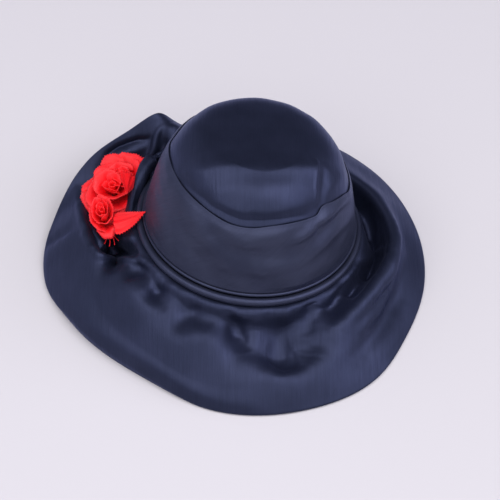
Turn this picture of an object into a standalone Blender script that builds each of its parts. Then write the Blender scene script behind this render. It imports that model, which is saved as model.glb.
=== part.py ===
"""A wide-brimmed satin hat with a draped band, two welts and a corsage of ribbon roses.

The hat rests on a table. +Z is up, -Y is the side with the short turned-down brim that faces the viewer,
+X is the viewer's right. The origin is the middle of the footprint, on the table.
"""

import math

import bmesh
import bpy
import numpy as np
from mathutils import Euler, Matrix, Vector
from mathutils.bvhtree import BVHTree

# Driving dimensions, in metres and degrees
CLEARANCE = 0.0004  # air between two pieces that touch on the real hat

# The crown: a cup over an oval head opening, leaning on its brim
HEAD_WIDTH = 0.1780
HEAD_LENGTH = 0.1875
CROWN_HEIGHT = 0.0975
CROWN_WALL = 0.0020
CROWN_NARROWING = 0.21  # share of the width that the crown loses from foot to tip
CROWN_ROUNDNESS = 4.4  # exponent of the crown's profile, boxier as it grows
CROWN_LEAN_RIGHT = 5.6
CROWN_LEAN_BACK = 4.3
FOOT_HEIGHT = 0.0450  # middle of the head opening above the table

# Band and welts, measured up the crown's axis from the foot of the crown
BAND_WALL = 0.0016
BAND_SLACK = 0.0003  # the band stands this much looser at its upper edge
BAND_TOP = 0.0680  # mean height of the band's upper edge
LOWER_WELT_HEIGHT = 0.0068
LOWER_WELT_DEPTH = 0.0066
UPPER_WELT_THICKNESS = 0.0028

# The brim: two layers of satin, gathered under the welts
BRIM_WALL = 0.0022
BRIM_REACH = 0.0800  # from the crown's foot outwards, on the side that faces the viewer
BRIM_MARGIN = 0.0075  # flat seam margin under the welts
SEAM_DROP = 0.0010  # the margin lies this far under the crown's foot
BRIM_LIP = 0.0045  # turned edge, which lies flat where it meets the table
TABLE_PRESS = 0.0006  # how far the resting edge is flattened
GATHER_DEPTH = 0.0060

# Ribbon roses and leaves
RIBBON_WALL = 0.0009
LARGE_ROSE_WIDTH = 0.0440
SMALL_ROSE_WIDTH = 0.0310
BUD_WIDTH = 0.0280
LEAF_LENGTH = 0.0300
LEAF_WIDTH = 0.0240

# Where the roses and leaves lie in the pocket of the brim, in the order in which they are laid:
# piece, (x, y) as shares of HEAD_WIDTH from the crown's axis, turns about x, y and z in degrees
CORSAGE = (
    ("back_leaf", (-0.5787, 0.4045), (10, 0, 50)),
    ("large_rose", (-0.6910, 0.1966), (4, -6, 150)),
    ("rosebud", (-0.7050, -0.0640), (-42, -12, 0)),
    ("small_rose", (-0.6067, 0.3202), (-4, 4, 40)),
    ("front_leaf", (-0.5674, -0.0730), (8, -22, -8)),
    ("side_leaf", (-0.5815, 0.1517), (-42, 0, 84)),
)

# Mesh fineness
AROUND_BRIM = 112
AROUND_CROWN = 48
UP_CROWN = 8

# Height of the band's upper edge round the crown: azimuth, share of BAND_TOP
BAND_EDGE = (
    (0, 0.86),
    (30, 0.90),
    (90, 0.98),
    (150, 1.01),
    (195, 1.04),
    (225, 1.03),
    (255, 0.97),
    (290, 0.99),
    (306, 0.98),
    (318, 1.02),
    (338, 0.94),
)

# Soft dents (minus) and swells (plus) of the crown above the band:
# azimuth, height as a share of CROWN_HEIGHT, half width in degrees, half height as a share, depth in shares of CROWN_WALL
CROWN_FOLDS = (
    (238, 0.72, 16, 0.10, -1.1),
    (272, 0.84, 34, 0.14, 0.8),
    (318, 0.80, 11, 0.16, -1.0),
    (336, 0.88, 14, 0.14, 0.6),
    (90, 0.90, 40, 0.12, -0.6),
)

# Sections of the brim round the crown. Out is a share of BRIM_REACH beyond the crown's foot,
# up is a share of FOOT_HEIGHT above the table, at four stations from the seam to the edge:
# azimuth, (out, up) of the root, the swell, the slope and the edge
BRIM_SECTIONS = (
    (20, (0.17, 0.40), (0.34, 0.80), (0.55, 0.46), (0.74, 0.013)),
    (45, (0.13, 0.60), (0.25, 0.74), (0.51, 0.42), (0.75, 0.013)),
    (75, (0.18, 0.74), (0.40, 0.66), (0.63, 0.36), (0.78, 0.013)),
    (100, (0.18, 0.80), (0.36, 0.82), (0.58, 0.58), (0.73, 0.26)),
    (115, (0.17, 0.92), (0.30, 1.02), (0.45, 0.98), (0.55, 0.86)),
    (127, (0.16, 1.26), (0.28, 1.46), (0.40, 1.50), (0.48, 1.56)),
    (138, (0.14, 1.38), (0.28, 0.52), (0.43, 0.92), (0.63, 1.28)),
    (152, (0.15, 1.38), (0.38, 0.36), (0.58, 0.66), (0.83, 1.00)),
    (172, (0.15, 1.22), (0.42, 0.30), (0.70, 0.90), (1.06, 0.24)),
    (190, (0.16, 1.04), (0.34, 0.36), (0.55, 0.98), (1.07, 0.013)),
    (208, (0.17, 1.12), (0.40, 0.98), (0.68, 0.64), (0.93, 0.14)),
    (238, (0.17, 1.08), (0.44, 0.88), (0.68, 0.50), (0.80, 0.12)),
    (262, (0.17, 0.96), (0.46, 0.80), (0.76, 0.38), (0.90, 0.013)),
    (283, (0.15, 0.72), (0.40, 0.52), (0.70, 0.50), (0.93, 0.013)),
    (306, (0.17, 0.82), (0.46, 0.74), (0.70, 0.42), (0.93, 0.013)),
    (325, (0.18, 0.60), (0.42, 0.84), (0.60, 0.36), (0.81, 0.013)),
    (350, (0.22, 0.32), (0.44, 0.90), (0.57, 0.36), (0.76, 0.013)),
)

# Gathers where the brim is drawn into its seam:
# azimuth, half width in degrees, depth as a share of GATHER_DEPTH, where it fades as a share of the reach
BRIM_GATHERS = (
    (6, 6, 0.7, 0.40),
    (24, 6, 0.6, 0.35),
    (41, 6, 0.7, 0.45),
    (60, 7, 0.8, 0.50),
    (79, 6, 0.7, 0.45),
    (97, 6, 0.6, 0.40),
    (196, 6, 0.6, 0.40),
    (211, 6, 0.9, 0.55),
    (226, 6, 1.0, 0.50),
    (243, 7, 1.0, 0.60),
    (264, 7, 1.2, 0.75),
    (282, 7, 1.2, 0.85),
    (307, 6, 0.9, 0.50),
    (321, 5, 0.8, 0.45),
    (338, 6, 0.8, 0.45),
)


def clear_scene():
    for old in list(bpy.data.objects):
        bpy.data.objects.remove(old)


def glide(knots, values, at, period=None):
    """Smooth curve through values at knots, read at the places in at. Values run along their first axis.

    Each span is a Hermite cubic whose end slopes come from the neighbouring knots. With a period the curve closes.
    """
    knots = np.asarray(knots, float)
    values = np.asarray(values, float)
    at = np.asarray(at, float)
    if period:
        order = np.argsort(knots % period)
        knots = (knots % period)[order]
        values = values[order]
        knots = np.concatenate([knots[-2:] - period, knots, knots[:2] + period])
        values = np.concatenate([values[-2:], values, values[:2]])
        at = (at - knots[1]) % period + knots[1]
    gaps = np.diff(knots)
    shape = (-1,) + (1,) * (values.ndim - 1)
    slopes = np.diff(values, axis=0) / gaps.reshape(shape)
    middle = (slopes[:-1] * gaps[1:].reshape(shape) + slopes[1:] * gaps[:-1].reshape(shape)) / (
        gaps[:-1] + gaps[1:]
    ).reshape(shape)
    tangents = np.concatenate([slopes[:1], middle, slopes[-1:]])
    span = np.clip(np.searchsorted(knots, at, side="right") - 1, 0, len(gaps) - 1)
    gap = gaps[span].reshape(shape)
    t = ((at - knots[span]) / gaps[span]).reshape(shape)
    return (
        values[span] * (2 * t**3 - 3 * t**2 + 1)
        + tangents[span] * gap * (t**3 - 2 * t**2 + t)
        + values[span + 1] * (3 * t**2 - 2 * t**3)
        + tangents[span + 1] * gap * (t**3 - t**2)
    )


def bell(distance, half_width):
    """1 at no distance, falling smoothly to almost nothing at twice the half width."""
    return np.exp(-((distance / half_width) ** 2))


def turn_between(a, b):
    """Signed difference of two azimuths in degrees, from -180 to 180."""
    return (np.asarray(a) - b + 180) % 360 - 180


def satin(name, colour, roughness):
    material = bpy.data.materials.new(name)
    material.use_nodes = True
    shader = material.node_tree.nodes["Principled BSDF"]
    shader.inputs["Base Color"].default_value = (*colour, 1)
    shader.inputs["Roughness"].default_value = roughness
    shader.inputs["Metallic"].default_value = 0
    material.diffuse_color = (*colour, 1)
    return material


def grid_object(name, surface, material, parent, wall=0.0, offset=0.0):
    """An object whose grid of points is surface, an array (columns, rows, 3). Edges that meet are welded.

    A wall thickens the surface with a Solidify modifier: offset -1 grows inwards, 0 to both sides.
    """
    columns = surface.shape[0] - 1
    rows = surface.shape[1] - 1
    sheet = bmesh.new()
    bmesh.ops.create_grid(sheet, x_segments=columns, y_segments=rows, size=0.5)
    for vertex in sheet.verts:
        column = round((vertex.co.x + 0.5) * columns)
        row = round((vertex.co.y + 0.5) * rows)
        vertex.co = surface[column, row]
    bmesh.ops.remove_doubles(sheet, verts=sheet.verts, dist=1e-6)
    mesh = bpy.data.meshes.new(name)
    sheet.to_mesh(mesh)
    sheet.free()
    mesh.materials.append(material)
    mesh.shade_smooth()
    piece = bpy.data.objects.new(name, mesh)
    bpy.data.collections["satin_hat"].objects.link(piece)
    piece.parent = parent
    if wall:
        thicken = piece.modifiers.new("wall", "SOLIDIFY")
        thicken.thickness = wall
        thicken.offset = offset
        thicken.use_even_offset = True
    return piece


def empty_frame(name, matrix, parent=None):
    frame = bpy.data.objects.new(name, None)
    bpy.data.collections["satin_hat"].objects.link(frame)
    frame.parent = parent
    frame.matrix_local = matrix
    return frame


def crown_matrix():
    """Carries the crown's own frame, foot at its origin and axis along +Z, to its place above the table."""
    lean = Euler((-math.radians(CROWN_LEAN_BACK), math.radians(CROWN_LEAN_RIGHT), 0), "YXZ").to_matrix().to_4x4()
    return Matrix.Translation((0, 0, FOOT_HEIGHT)) @ lean


def oval(azimuth, beyond=0.0):
    """Distance from the crown's axis to its foot oval, grown by beyond, at azimuths in degrees."""
    turn = np.radians(azimuth)
    half_width = HEAD_WIDTH / 2 + CROWN_WALL
    half_length = HEAD_LENGTH / 2 + CROWN_WALL
    return 1 / np.hypot(np.cos(turn) / half_width, np.sin(turn) / half_length) + beyond


def narrowing(share):
    """How much of its foot radius the crown keeps at a share of its height: a superellipse on a taper."""
    return (1 - share**CROWN_ROUNDNESS) ** (1 / CROWN_ROUNDNESS) * (1 - CROWN_NARROWING * share)


def crown_push(azimuth, share):
    """How far the crown's soft dents and swells push its skin out at an azimuth and a share of its height."""
    push = 0.0
    for at, height, half_turn, half_height, depth in CROWN_FOLDS:
        push = push + depth * CROWN_WALL * bell(turn_between(azimuth, at), half_turn) * bell(share - height, half_height)
    return push


def crown_radius(azimuth, height):
    """Outer radius of the crown's wall at heights above its foot."""
    share = np.asarray(height) / CROWN_HEIGHT
    return oval(azimuth) * narrowing(share) + crown_push(azimuth, share)


def crown_surface(columns, rows):
    """Outer skin of the crown, from the foot to the tip, with its soft dents and swells."""
    azimuth, climb = np.meshgrid(np.linspace(0, 360, columns + 1), np.linspace(0, 1, rows + 1), indexing="ij")
    climb = climb**0.75 * math.pi / 2
    across = np.clip(np.cos(climb), 0, 1) ** (2 / CROWN_ROUNDNESS)
    across[:, -1] = 0.0
    share = np.sin(climb) ** (2 / CROWN_ROUNDNESS)
    push = crown_push(azimuth, share)
    radius = (oval(azimuth) * (1 - CROWN_NARROWING * share) + push) * across
    up = CROWN_HEIGHT * share + push * share**8 * across
    turn = np.radians(azimuth)
    return np.stack([radius * np.cos(turn), radius * np.sin(turn), up], -1)


def band_surface(columns, rows):
    """Inner skin of the band, from its foot on the upper welt to its curved upper edge, clear of the crown."""
    azimuth, climb = np.meshgrid(np.linspace(0, 360, columns + 1), np.linspace(0, 1, rows + 1), indexing="ij")
    edge_azimuth, edge_share = zip(*BAND_EDGE)
    top = BAND_TOP * glide(edge_azimuth, edge_share, azimuth[:, 0], period=360)[:, None]
    foot = band_foot()
    up = foot + (top - foot) * climb
    radius = crown_radius(azimuth, up) + CLEARANCE + BAND_SLACK * climb
    turn = np.radians(azimuth)
    return np.stack([radius * np.cos(turn), radius * np.sin(turn), up], -1)


def lower_welt_foot():
    return CLEARANCE - SEAM_DROP


def upper_welt_foot():
    return lower_welt_foot() + LOWER_WELT_HEIGHT + CLEARANCE


def band_foot():
    return upper_welt_foot() + UPPER_WELT_THICKNESS + CLEARANCE


def welt_surface(foot, height, depth, columns, sides):
    """A padded roll round the crown: an ellipse of the given height and depth carried round the crown's oval."""
    azimuth, roll = np.meshgrid(np.linspace(0, 360, columns + 1), np.linspace(0, 2 * math.pi, sides + 1), indexing="ij")
    middle = crown_radius(azimuth, foot + height / 2) + CLEARANCE + depth / 2
    radius = middle + depth / 2 * np.cos(roll)
    up = foot + height / 2 + height / 2 * np.sin(roll)
    turn = np.radians(azimuth)
    return np.stack([radius * np.cos(turn), radius * np.sin(turn), up], -1)


def brim_seam(azimuth, out):
    """Points on the flat seam margin round the crown's foot, out from the crown's wall, in the hat's frame."""
    turn = np.radians(azimuth)
    radius = oval(azimuth, CLEARANCE) + out
    level = np.full_like(radius, -SEAM_DROP - BRIM_WALL / 2)
    points = np.stack([radius * np.cos(turn), radius * np.sin(turn), level], -1)
    carry = np.array(crown_matrix())
    return points @ carry[:3, :3].T + carry[:3, 3]


def brim_surface(columns, stations):
    """Middle skin of the brim: a smooth loft through the sections, gathered towards the seam.

    A column is one azimuth. Its line starts on the seam margin, runs through the section's four points and ends
    in the lip. Stations are the shares of that line at which it has a point.
    """
    azimuth = np.linspace(0, 360, columns + 1)
    table = np.array([[value for pair in row[1:] for value in pair] for row in BRIM_SECTIONS])
    section = glide([row[0] for row in BRIM_SECTIONS], table, azimuth, period=360).reshape(-1, 4, 2)
    out = section[..., 0] * BRIM_REACH
    up = section[..., 1] * FOOT_HEIGHT
    inner = brim_seam(azimuth, 0.0)
    margin = brim_seam(azimuth, BRIM_MARGIN)
    turn = np.radians(azimuth)[:, None]
    radius = oval(azimuth)[:, None] + out
    stops = np.stack([radius * np.cos(turn), radius * np.sin(turn), up], -1)
    rest = BRIM_WALL / 2 - TABLE_PRESS
    stops[..., 2] = np.maximum(stops[..., 2], rest)
    run = stops[:, 3] - stops[:, 2]
    lip = stops[:, 3] + run / np.linalg.norm(run, axis=-1, keepdims=True) * BRIM_LIP
    lip[:, 2] = np.maximum(lip[:, 2], rest)
    line = np.stack([inner, margin, *np.moveaxis(stops, 1, 0), lip])
    knots = (0.0, 0.09, 0.24, 0.50, 0.76, 0.95, 1.0)
    surface = np.moveaxis(glide(knots, line, stations), 0, 1).copy()
    gathers = np.zeros(surface.shape[:2])
    share = np.asarray(stations)[None, :]
    for at, half_turn, depth, fade in BRIM_GATHERS:
        along = np.clip(share / fade, 0, 1)
        reach = 16 * along**2 * (1 - along) ** 2
        gathers -= depth * GATHER_DEPTH * bell(turn_between(azimuth, at), half_turn / 1.4)[:, None] * reach
    surface[..., 2] += gathers
    surface[..., 2] = np.maximum(surface[..., 2], rest)
    return surface


def press_on_table(piece):
    """Fixes the piece's modifiers and flattens what would reach under the table, as cloth does where it rests."""
    graph = bpy.context.evaluated_depsgraph_get()
    mesh = bpy.data.meshes.new_from_object(piece.evaluated_get(graph))
    for vertex in mesh.vertices:
        vertex.co.z = max(vertex.co.z, 0.0)
    piece.modifiers.clear()
    piece.data = mesh


def rose_surface(width, height, turns, flare, columns, rows):
    """Middle skin of a rose wound from one ribbon: a spiral strip, upright in the heart and flaring to the outside.

    Along the strip u the foot and the rim move outwards at their own pitch, so that each turn clears the last.
    """
    u, v = np.meshgrid(np.linspace(0, 1, columns + 1), np.linspace(0, 1, rows + 1), indexing="ij")
    turn = 2 * math.pi * turns * u
    foot = width * (0.045 + 0.19 * u)
    rim = width * (0.06 + (0.42 + 0.02 * np.cos(turn * 1.25)) * u**1.15)
    radius = foot + (rim - foot) * v ** (1 + flare * u)
    rise = height * (1 - 0.25 * u**2) + 0.05 * height * np.sin(turn * 1.6) * u
    up = rise * (v - 0.28 * u**2 * v**4)
    return np.stack([radius * np.cos(turn), radius * np.sin(turn), up], -1)


def leaf_surface(length, width, fold, curl, columns, rows):
    """Middle skin of a ribbon leaf that points along +X: widest near its root, pinked edges, creased along the midrib."""
    u, v = np.meshgrid(np.linspace(0, 1, columns + 1), np.linspace(-1, 1, rows + 1), indexing="ij")
    half = width / 2 * (0.10 + 0.90 * np.sin(math.pi * np.clip(u, 0, 1) ** 0.65) ** 0.8)
    pinking = 1 + 0.09 * np.where(np.arange(columns + 1) % 2, 1.0, -1.0)[:, None] * (np.abs(v) > 0.9)
    across = half * v * pinking
    up = np.abs(across) * math.tan(math.radians(fold)) + curl * length * (u - 0.5) ** 2 * 4
    return np.stack([length * (u - 0.5), across, up], -1)


def world_points(piece):
    """The piece's fixed shape as a Blender tree for rays, with points spread over its faces."""
    graph = bpy.context.evaluated_depsgraph_get()
    mesh = piece.evaluated_get(graph).to_mesh()
    place = piece.matrix_world
    corners = [place @ vertex.co for vertex in mesh.vertices]
    faces = [tuple(face.vertices) for face in mesh.polygons]
    points = list(corners)
    for face in faces:
        ring = [corners[index] for index in face]
        middle = sum(ring, Vector()) / len(ring)
        points.append(middle)
        for index, corner in enumerate(ring):
            points.append((corner + ring[index - 1]) / 2)
            points.append((corner + middle) / 2)
    return BVHTree.FromPolygons(corners, faces), points


def seat(piece, supports, gap):
    """Lowers the piece onto its supports until the least height between them is the gap."""
    bpy.context.view_layer.update()
    piece_tree, piece_points = world_points(piece)
    down = Vector((0, 0, -1))
    least = 1.0
    for support in supports:
        tree, points = world_points(support)
        for point in piece_points:
            hit = tree.ray_cast(point, down)
            if hit[0] is not None:
                least = min(least, hit[3])
        for point in points:
            hit = piece_tree.ray_cast(point, -down)
            if hit[0] is not None:
                least = min(least, hit[3])
    piece.location.z -= least - gap
    bpy.context.view_layer.update()


def footprint(pieces):
    """Lowest and highest corner of the pieces' common box."""
    graph = bpy.context.evaluated_depsgraph_get()
    corners = []
    for piece in pieces:
        mesh = piece.evaluated_get(graph).to_mesh()
        corners += [piece.matrix_world @ vertex.co for vertex in mesh.vertices]
    low = Vector(min(corner[axis] for corner in corners) for axis in range(3))
    high = Vector(max(corner[axis] for corner in corners) for axis in range(3))
    return low, high


def build():
    clear_scene()
    collection = bpy.data.collections.new("satin_hat")
    bpy.context.scene.collection.children.link(collection)
    navy = satin("navy_satin", (0.018, 0.022, 0.050), 0.42)
    band_satin = satin("band_satin", (0.022, 0.026, 0.056), 0.42)
    welt_satin = satin("welt_satin", (0.024, 0.028, 0.060), 0.40)
    brim_satin = satin("brim_satin", (0.018, 0.022, 0.052), 0.42)

    hat = empty_frame("hat", Matrix.Identity(4))
    crown_frame = empty_frame("crown_frame", crown_matrix(), hat)

    grid_object("crown", crown_surface(AROUND_CROWN, UP_CROWN), navy, crown_frame, CROWN_WALL, -1)
    grid_object("band", band_surface(AROUND_CROWN, 4), band_satin, crown_frame, BAND_WALL, 1)
    grid_object(
        "lower_welt",
        welt_surface(lower_welt_foot(), LOWER_WELT_HEIGHT, LOWER_WELT_DEPTH, AROUND_CROWN, 6),
        welt_satin,
        crown_frame,
    )
    grid_object(
        "upper_welt",
        welt_surface(upper_welt_foot(), UPPER_WELT_THICKNESS, UPPER_WELT_THICKNESS, AROUND_CROWN, 5),
        welt_satin,
        crown_frame,
    )
    stations = (0.0, 0.09, 0.16, 0.24, 0.32, 0.41, 0.50, 0.59, 0.68, 0.77, 0.86, 0.95, 1.0)
    brim = grid_object("brim", brim_surface(AROUND_BRIM, stations), brim_satin, hat, BRIM_WALL, 0)
    bpy.context.view_layer.update()
    press_on_table(brim)

    red = satin("red_ribbon", (0.70, 0.012, 0.020), 0.45)
    roses = {}
    for name, width, height, turns, flare, columns in (
        ("large_rose", LARGE_ROSE_WIDTH, 0.58 * LARGE_ROSE_WIDTH, 3.2, 0.9, 46),
        ("small_rose", SMALL_ROSE_WIDTH, 0.60 * SMALL_ROSE_WIDTH, 2.6, 0.8, 36),
        ("rosebud", BUD_WIDTH, 1.10 * BUD_WIDTH, 2.2, 0.5, 28),
    ):
        surface = rose_surface(width, height, turns, flare, columns, 3)
        roses[name] = grid_object(name, surface, red, hat, RIBBON_WALL, 0)
    leaves = {}
    for name, share, fold, curl in (("front_leaf", 1.0, 14, 0.06), ("side_leaf", 0.80, 10, 0.04), ("back_leaf", 0.85, 12, 0.05)):
        surface = leaf_surface(share * LEAF_LENGTH, share * LEAF_WIDTH, fold, curl, 14, 4)
        leaves[name] = grid_object(name, surface, red, hat, RIBBON_WALL, 0)

    for name, place, turns in CORSAGE:
        piece = bpy.data.objects[name]
        piece.location = (place[0] * HEAD_WIDTH, place[1] * HEAD_WIDTH, FOOT_HEIGHT + CROWN_HEIGHT)
        piece.rotation_euler = [math.radians(turn) for turn in turns]
    laid = [bpy.data.objects[name] for name in ("brim", "band", "upper_welt", "lower_welt")]
    for name, place, turns in CORSAGE:
        piece = bpy.data.objects[name]
        seat(piece, laid, CLEARANCE)
        laid.append(piece)

    low, high = footprint([piece for piece in collection.objects if piece.type == "MESH"])
    hat.location = (-(low.x + high.x) / 2, -(low.y + high.y) / 2, -low.z)


build()
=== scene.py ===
"""A navy satin picture hat with a draped band, two welts, a gathered brim and a corsage of red ribbon roses.

Every cloth surface is a function of the azimuth round the crown and of a share across the cloth, worked out
as whole arrays. Azimuths are in degrees, 0 to the viewer's right, 90 to the back. Lengths are in metres.
"""

import math

import bmesh
import bpy
import numpy as np
from mathutils import Euler, Matrix, Vector


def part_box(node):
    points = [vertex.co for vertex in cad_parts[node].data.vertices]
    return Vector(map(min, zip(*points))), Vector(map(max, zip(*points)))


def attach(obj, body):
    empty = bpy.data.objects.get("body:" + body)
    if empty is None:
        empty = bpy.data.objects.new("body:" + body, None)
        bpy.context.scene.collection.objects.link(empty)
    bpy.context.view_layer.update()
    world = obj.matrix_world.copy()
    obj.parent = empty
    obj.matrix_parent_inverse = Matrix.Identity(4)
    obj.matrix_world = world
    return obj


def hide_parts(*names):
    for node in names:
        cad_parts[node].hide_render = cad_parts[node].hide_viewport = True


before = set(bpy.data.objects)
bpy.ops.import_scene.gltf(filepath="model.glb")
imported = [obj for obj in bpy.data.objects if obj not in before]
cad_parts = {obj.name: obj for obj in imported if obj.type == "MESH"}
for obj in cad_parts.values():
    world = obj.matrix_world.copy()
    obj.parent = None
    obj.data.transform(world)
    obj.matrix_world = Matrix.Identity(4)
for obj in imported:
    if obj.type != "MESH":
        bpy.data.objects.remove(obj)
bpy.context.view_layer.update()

# The hat's own sizes, the same as its solids have
FOOT = (0.01383, 0.00527, 0.0450)  # middle of the head opening
HEAD_WIDTH = 0.1780
HEAD_LENGTH = 0.1875
CROWN_HEIGHT = 0.0975
CROWN_WALL = 0.0020
CROWN_NARROWING = 0.21
CROWN_ROUNDNESS = 4.4
CROWN_LEAN_RIGHT = 5.6
CROWN_LEAN_BACK = 4.3
BAND_WALL = 0.0016
BAND_TOP = 0.0680
LOWER_WELT_HEIGHT = 0.0068
LOWER_WELT_DEPTH = 0.0066
UPPER_WELT_THICKNESS = 0.0028
SEAM_DROP = 0.0010
BRIM_WALL = 0.0022
BRIM_REACH = 0.0800
BRIM_MARGIN = 0.0075
BRIM_LIP = 0.0045
GATHER_DEPTH = 0.0060
CLEARANCE = 0.0004  # between pieces that are sewn together
TABLE_GAP = 0.0001  # between the brim's lower skin and the table
RIBBON_WALL = 0.0004
LEAF_LENGTH = 0.0300
LEAF_WIDTH = 0.0240
LEAF_WALL = 0.0006

# The photograph's view: its width in pixels, the camera's lens, and where the camera stands and looks
PHOTO_WIDTH = 500
LENS = 105.9
SENSOR = 36.0
CAMERA_ELEVATION = math.radians(48)
CAMERA_DISTANCE = 1.25
AIM = np.array([FOOT[0] + 0.0007, FOOT[1] - 0.0321, 0.0450])

# Height of the band's folded upper edge: azimuth, share of BAND_TOP
BAND_EDGE = (
    (0, 0.80),
    (30, 0.86),
    (60, 0.94),
    (90, 0.98),
    (125, 1.01),
    (154, 1.02),
    (162, 0.96),
    (172, 1.00),
    (185, 1.04),
    (205, 1.06),
    (229, 1.04),
    (244, 1.00),
    (255, 0.97),
    (266, 0.97),
    (278, 1.00),
    (290, 1.01),
    (303, 1.00),
    (309, 1.00),
    (314, 1.05),
    (324, 1.02),
    (338, 0.94),
    (350, 0.83),
)

# Sections of the brim: azimuth, then (out, up) of the root, the swell, the slope and the edge.
# Out is a share of BRIM_REACH beyond the crown's foot, up a share of the foot's height above the table.
BRIM_SECTIONS = (
    (20, (0.17, 0.40), (0.34, 0.80), (0.55, 0.46), (0.74, 0.013)),
    (45, (0.13, 0.60), (0.25, 0.74), (0.51, 0.42), (0.75, 0.013)),
    (75, (0.18, 0.74), (0.40, 0.66), (0.63, 0.36), (0.78, 0.013)),
    (100, (0.18, 0.80), (0.36, 0.82), (0.58, 0.58), (0.73, 0.26)),
    (115, (0.17, 0.92), (0.30, 1.02), (0.45, 0.98), (0.55, 0.86)),
    (127, (0.16, 1.26), (0.28, 1.46), (0.40, 1.50), (0.48, 1.56)),
    (138, (0.14, 1.38), (0.28, 0.52), (0.43, 0.92), (0.63, 1.28)),
    (152, (0.15, 1.38), (0.38, 0.36), (0.58, 0.66), (0.83, 1.00)),
    (172, (0.15, 1.22), (0.42, 0.30), (0.70, 0.90), (1.06, 0.24)),
    (190, (0.16, 1.04), (0.34, 0.36), (0.55, 0.98), (1.07, 0.013)),
    (208, (0.17, 1.12), (0.40, 0.98), (0.68, 0.64), (0.93, 0.14)),
    (238, (0.17, 1.08), (0.44, 0.88), (0.68, 0.50), (0.80, 0.12)),
    (262, (0.17, 0.96), (0.46, 0.80), (0.76, 0.38), (0.90, 0.013)),
    (283, (0.15, 0.72), (0.40, 0.52), (0.70, 0.50), (0.93, 0.013)),
    (306, (0.17, 0.82), (0.46, 0.74), (0.70, 0.42), (0.93, 0.013)),
    (325, (0.18, 0.60), (0.42, 0.84), (0.60, 0.36), (0.81, 0.013)),
    (350, (0.22, 0.32), (0.44, 0.90), (0.57, 0.36), (0.76, 0.013)),
)

# Gathers at the brim's seam: azimuth, half width in degrees, share of GATHER_DEPTH, where it fades
BRIM_GATHERS = (
    (6, 6, 0.7, 0.40),
    (24, 6, 0.6, 0.35),
    (41, 6, 0.7, 0.45),
    (60, 7, 0.8, 0.50),
    (79, 6, 0.7, 0.45),
    (97, 6, 0.6, 0.40),
    (196, 6, 0.6, 0.40),
    (211, 6, 0.9, 0.55),
    (226, 6, 1.0, 0.50),
    (243, 7, 1.0, 0.60),
    (264, 7, 1.2, 0.75),
    (282, 7, 1.2, 0.85),
    (307, 6, 0.9, 0.50),
    (321, 5, 0.8, 0.45),
    (338, 6, 0.8, 0.45),
)

# Folds pressed into the cloth: height in mm (minus is a hollow), half width in mm, then the line that the
# fold follows, traced in the photograph in its pixels
BRIM_FOLDS = (
    # right crest, its second crest and the gap between them
    (1.6, 6.0, ((350, 178), (372, 200), (388, 222), (396, 240))),
    (4.4, 7.5, ((388, 226), (396, 240), (396, 256), (390, 270), (378, 286), (360, 304),
     (342, 322), (334, 334))),
    (1.8, 4.0, ((398, 256), (390, 276), (387, 294), (380, 310), (362, 330))),
    (-2.4, 5.0, ((400, 250), (396, 268), (390, 285), (372, 306), (356, 322))),
    # hollow beside the band at the right, and the ridge across it
    (-4.0, 11.0, ((362, 206), (370, 226), (376, 246))),
    (2.2, 4.5, ((356, 266), (372, 255), (390, 250))),
    (-2.0, 7.0, ((350, 286), (366, 268))),
    # slope at the right
    (-3.0, 8.0, ((402, 262), (398, 296), (382, 326), (364, 350), (346, 366))),
    # troughs and ridges at the front
    (-5.4, 11.0, ((238, 338), (262, 350), (284, 363), (302, 362), (312, 346))),
    (-2.6, 6.5, ((313, 298), (311, 316), (306, 336))),
    (1.6, 6.0, ((254, 312), (258, 330))),
    (-4.4, 7.0, ((232, 316), (238, 332), (246, 350))),
    (-2.4, 8.0, ((214, 324), (200, 318), (190, 306))),
    (-1.8, 6.5, ((150, 284), (160, 298), (172, 310))),
    (-2.2, 7.0, ((156, 270), (134, 275), (112, 284))),
    (1.0, 5.5, ((168, 280), (150, 287), (134, 294))),
    (1.0, 6.0, ((184, 294), (172, 312))),
    (-2.2, 5.0, ((345, 284), (336, 300), (330, 312))),
    (-2.0, 5.0, ((318, 294), (306, 312))),
    # light patches just below the welt
    (1.8, 6.0, ((278, 304), (290, 324))),
    (1.6, 5.0, ((236, 306), (245, 322))),
    # the pocket's border, the two pits inside it, the puff and the dimple
    (3.8, 3.2, ((76, 190), (79, 205), (83, 224), (89, 242), (101, 256), (114, 260), (129, 260),
     (142, 261), (150, 262))),
    (-7.5, 4.6, ((88, 206), (95, 236), (106, 249), (120, 252), (134, 253))),
    (-4.0, 8.0, ((98, 214), (104, 236), (122, 244))),
    (4.5, 5.0, ((116, 244), (126, 240), (138, 238))),
    (-2.8, 5.0, ((44, 248), (58, 235), (70, 228), (82, 232))),
    # the arc at the back left and the fold inside it, then the fold down from the peak and its valley
    (-4.0, 2.8, ((106, 162), (111, 153), (125, 145), (140, 141), (152, 140))),
    (2.4, 3.0, ((104, 172), (112, 162), (126, 153), (142, 149))),
    (5.4, 3.0, ((160, 128), (155, 147), (148, 164), (141, 182), (137, 200))),
    (-4.4, 3.2, ((165, 140), (158, 160), (152, 180), (146, 200))),
)
CROWN_FOLDS = (
    (2.6, 9.0, ((180, 171), (200, 167), (222, 164), (262, 162), (302, 165), (322, 168), (342, 174))),
    (-2.4, 6.0, ((180, 176), (192, 194), (212, 212), (238, 224), (266, 226), (298, 219), (318, 208))),
    (0.9, 1.6, ((317, 160), (317, 172), (317, 188), (317, 206))),
    (-1.4, 4.0, ((324, 166), (325, 184), (322, 204))),
    (1.2, 6.0, ((328, 190), (336, 182), (344, 174))),
    (-1.6, 14.0, ((210, 142), (260, 134), (310, 144))),
)
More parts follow.
